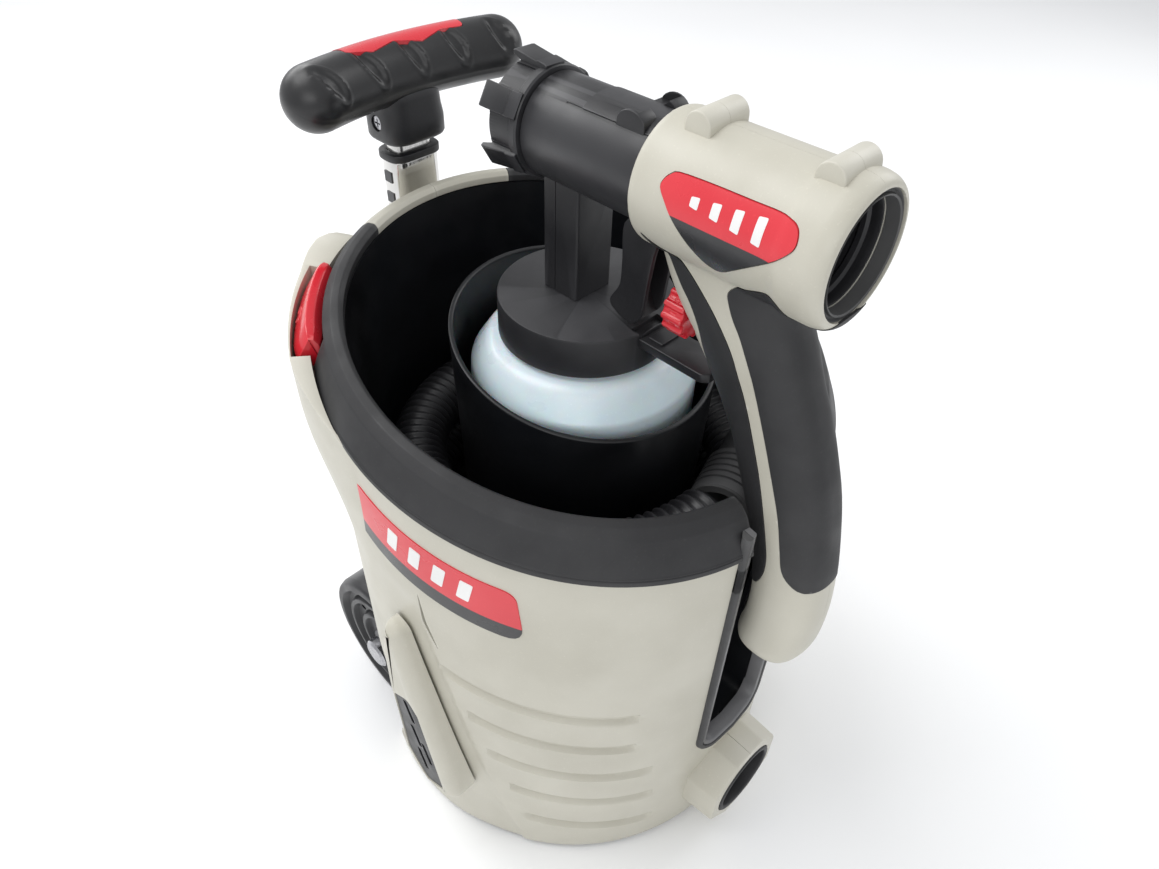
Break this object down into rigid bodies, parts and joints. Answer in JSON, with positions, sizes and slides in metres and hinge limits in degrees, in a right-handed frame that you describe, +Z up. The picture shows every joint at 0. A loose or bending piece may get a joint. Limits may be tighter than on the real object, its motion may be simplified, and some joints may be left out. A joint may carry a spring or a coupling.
{
  "type": "canister turbine paint sprayer",
  "caption": "Wheeled canister paint sprayer with a telescopic T-handle; the spray gun and its cup are parked in the drum's holder above a coiled hose.",
  "frame": {"origin": "floor level, under the middle of the whole object's box", "axes": "+Z up, -Y towards the handle slot and the hose port, +Y towards the pull handle and the wheels, -X towards the power button and the filter"},
  "size_m": [0.2648, 0.3148, 0.425],
  "materials": {
    "beige_plastic": "satin moulded",
    "soft_grey": "fine-grained soft touch",
    "black_plastic": "satin",
    "tub_black": "satin",
    "red_plastic": "gloss",
    "chrome": "polished",
    "steel": "turned",
    "milky_plastic": "translucent",
    "black_rubber": "satin",
    "foam": "open cell",
    "motor_can": "satin",
    "board": "gloss"
  },
  "bodies": {
    "base": {"left_shell": "beige_plastic", "right_shell": "beige_plastic", "rim_bezel": "soft_grey", "body_label": "red_plastic", "inner_tub": "tub_black", "cup_holder": "tub_black", "hose_coil": "black_plastic", "hose_cuff_upper": "soft_grey", "hose_cuff_lower": "soft_grey", "base_plate": "black_plastic", "front_foot_left": "black_rubber", "front_foot_right": "black_rubber", "axle": "steel", "fan_housing": "black_plastic", "outlet_duct": "tub_black", "outlet_ring": "soft_grey", "motor": "motor_can", "control_board": "board", "switch_module": "black_plastic", "handle_outer_tube": "chrome", "detent_lower": "black_plastic", "detent_upper": "black_plastic", "tube_collar": "black_plastic", "upper_bracket": "black_plastic", "lower_bracket": "black_plastic", "cord_gland": "black_rubber"},
    "power_button": {"power_button": "red_plastic"},
    "wheel_left": {"wheel_left": "black_plastic", "hub_cap_left": "steel"},
    "wheel_right": {"wheel_right": "black_plastic", "hub_cap_right": "steel"},
    "turbine_rotor": {"turbine_fan": "black_plastic", "motor_shaft": "steel"},
    "filter_door": {"filter_cover": "beige_plastic", "filter_grille": "black_plastic", "filter_foam": "foam"},
    "pull_handle": {"handle_inner_tube": "chrome", "grip_stem": "black_plastic", "t_grip": "black_rubber", "grip_inset": "red_plastic", "stem_screw": "steel"},
    "spray_gun": {"gun_shell_left": "beige_plastic", "gun_shell_right": "beige_plastic", "front_grip_strip": "soft_grey", "rear_grip_pad": "soft_grey", "inlet_ring": "soft_grey", "barrel": "black_plastic", "cup_lid": "black_plastic", "lid_gasket": "black_rubber", "pickup_tube": "milky_plastic", "fluid_nozzle": "steel", "needle_spring": "steel", "trigger_pin": "steel"},
    "lock_ring": {"lock_ring": "black_plastic", "air_cap": "black_plastic"},
    "trigger": {"trigger": "black_plastic"},
    "needle": {"needle": "steel"},
    "flow_knob": {"flow_knob": "red_plastic"},
    "bottle": {"bottle": "milky_plastic"}
  },
  "joints": [
    {"name": "power_press", "type": "slide", "parent": "base", "child": "power_button", "axis": [0, 0, -1], "range_m": [0, 0.003], "stiffness_N_per_m": 600, "springref_m": -0.001},
    {"name": "wheel_left_roll", "type": "hinge", "parent": "base", "child": "wheel_left", "pos_m": [0, 0.0746, 0.052], "axis": [1, 0, 0], "continuous": true},
    {"name": "wheel_right_roll", "type": "hinge", "parent": "base", "child": "wheel_right", "pos_m": [0, 0.0746, 0.052], "axis": [1, 0, 0], "continuous": true},
    {"name": "turbine_spin", "type": "hinge", "parent": "base", "child": "turbine_rotor", "pos_m": [0.0046, -0.0004, 0.04], "axis": [0, 0, 1], "continuous": true},
    {"name": "filter_open", "type": "hinge", "parent": "base", "child": "filter_door", "pos_m": [-0.1234, 0, 0.04], "axis": [0, -1, 0], "range_deg": [0, 70]},
    {"name": "handle_extend", "type": "slide", "parent": "base", "child": "pull_handle", "axis": [0, 0, 1], "range_m": [0, 0.26]},
    {"name": "gun_lift", "type": "slide", "parent": "base", "child": "spray_gun", "axis": [0, 0, 1], "range_m": [0, 0.2]},
    {"name": "lock_ring_turn", "type": "hinge", "parent": "spray_gun", "child": "lock_ring", "pos_m": [0.0046, 0, 0.3925], "axis": [0, 1, 0], "range_deg": [0, 90]},
    {"name": "trigger_pull", "type": "hinge", "parent": "spray_gun", "child": "trigger", "pos_m": [0, -0.0504, 0.403], "axis": [-1, 0, 0], "range_deg": [0, 6], "stiffness_Nm_per_rad": 2, "springref_deg": -5.73},
    {"name": "needle_draw", "type": "slide", "parent": "spray_gun", "child": "needle", "axis": [0, -1, 0], "range_m": [0, 0.00112]},
    {"name": "flow_turn", "type": "hinge", "parent": "spray_gun", "child": "flow_knob", "pos_m": [0.0046, 0, 0.338], "axis": [0, 1, 0], "range_deg": [0, 270]},
    {"name": "bottle_unscrew", "type": "hinge", "parent": "spray_gun", "child": "bottle", "pos_m": [0.0046, -0.0004, 0.3], "axis": [0, 0, -1], "range_deg": [0, 180]}
  ],
  "couplings": [
    {"joint": "needle_draw", "follows": "trigger_pull", "m_per_rad": 0.0107}
  ]
}
